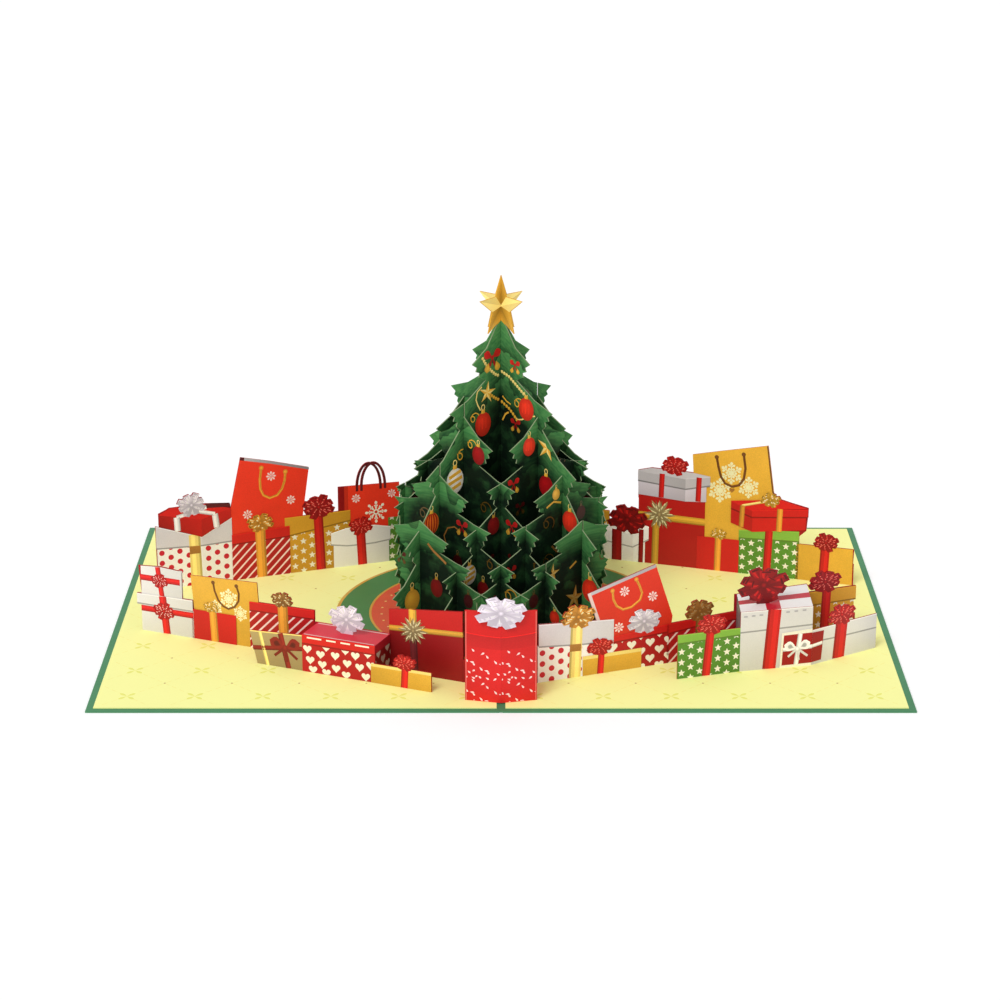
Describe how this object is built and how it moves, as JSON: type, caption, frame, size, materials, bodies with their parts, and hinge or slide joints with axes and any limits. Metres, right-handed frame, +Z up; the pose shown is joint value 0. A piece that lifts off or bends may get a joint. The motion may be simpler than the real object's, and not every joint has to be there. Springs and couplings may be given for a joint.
{
  "type": "pop up card",
  "caption": "Greeting card opened flat, with a slotted paper fir tree standing over the fold and folded walls of printed gift boxes and bags before and behind it.",
  "frame": {"origin": "centre of the opened card, on the underside of the cover where it meets the table", "axes": "+X along the opened width, to the viewer's right; +Y along the fold, away from the viewer; +Z up, along the tree"},
  "size_m": [0.3, 0.2, 0.137],
  "materials": {
    "cover_board": "matt green board",
    "page_paper": "matt cream yellow paper",
    "gift_print": "printed satin card",
    "red_print": "printed satin card",
    "bow_print": "printed satin card",
    "tree_print": "printed satin card"
  },
  "bodies": {
    "root": {"cover": "cover_board", "page_left": "page_paper", "page_right": "page_paper", "back_gift_wall": "gift_print", "front_gift_wall": "gift_print", "gift_strip_left": "gift_print", "gift_strip_right": "gift_print", "centre_gift_box": "red_print", "centre_box_bow": "bow_print", "hearts_box_bow": "bow_print", "white_box_bow": "red_print", "tree_slice_a1": "tree_print", "tree_slice_a2": "tree_print", "tree_slice_a3": "tree_print", "tree_slice_a4": "tree_print", "tree_slice_a5": "tree_print", "tree_slice_a6": "tree_print", "tree_slice_a7": "tree_print", "tree_slice_b1": "tree_print", "tree_slice_b2": "tree_print", "tree_slice_b3": "tree_print", "tree_slice_b4": "tree_print", "tree_slice_b5": "tree_print", "tree_slice_b6": "tree_print", "tree_slice_b7": "tree_print"}
  },
  "joints": []
}
